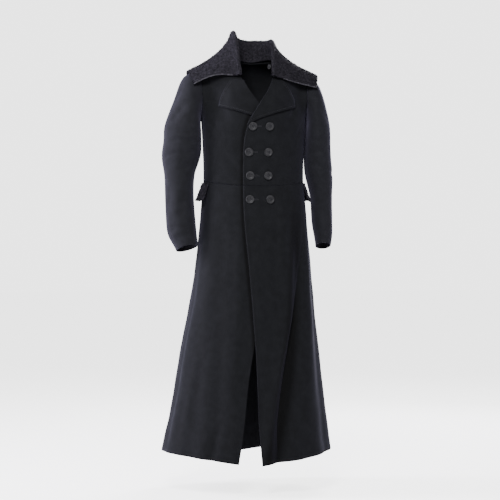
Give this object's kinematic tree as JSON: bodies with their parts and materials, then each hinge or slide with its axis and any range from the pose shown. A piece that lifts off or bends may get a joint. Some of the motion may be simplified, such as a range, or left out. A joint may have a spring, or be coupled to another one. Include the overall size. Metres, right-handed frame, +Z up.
{
  "type": "greatcoat",
  "caption": "Long double-breasted greatcoat, hollow and hanging as worn, with a wide pile collar over the shoulders, lapels, a waist seam, side pocket flaps and a flared skirt.",
  "frame": {"origin": "between the shoulders at the foot of the neck, where the wearer holds the coat up", "axes": "+Z up, -Y towards the front of the coat, +X towards the coat's left side"},
  "size_m": [0.59, 0.5024, 1.4599],
  "materials": {
    "wool": "matte",
    "pile": "matte",
    "horn": "satin"
  },
  "bodies": {
    "root": {"bodice_front_left": "wool", "bodice_front_right": "wool", "bodice_back": "wool", "skirt_front_left": "wool", "skirt_front_right": "wool", "skirt_back": "wool", "sleeve_left": "wool", "sleeve_right": "wool", "lapel_left": "wool", "lapel_right": "wool", "collar": "pile", "pocket_flap_left": "pile", "pocket_flap_right": "pile", "front_button_1": "horn", "front_button_2": "horn", "front_button_3": "horn", "front_button_4": "horn", "front_button_5": "horn", "front_button_6": "horn", "front_button_7": "horn", "front_button_8": "horn", "neck_button": "horn"}
  },
  "joints": []
}
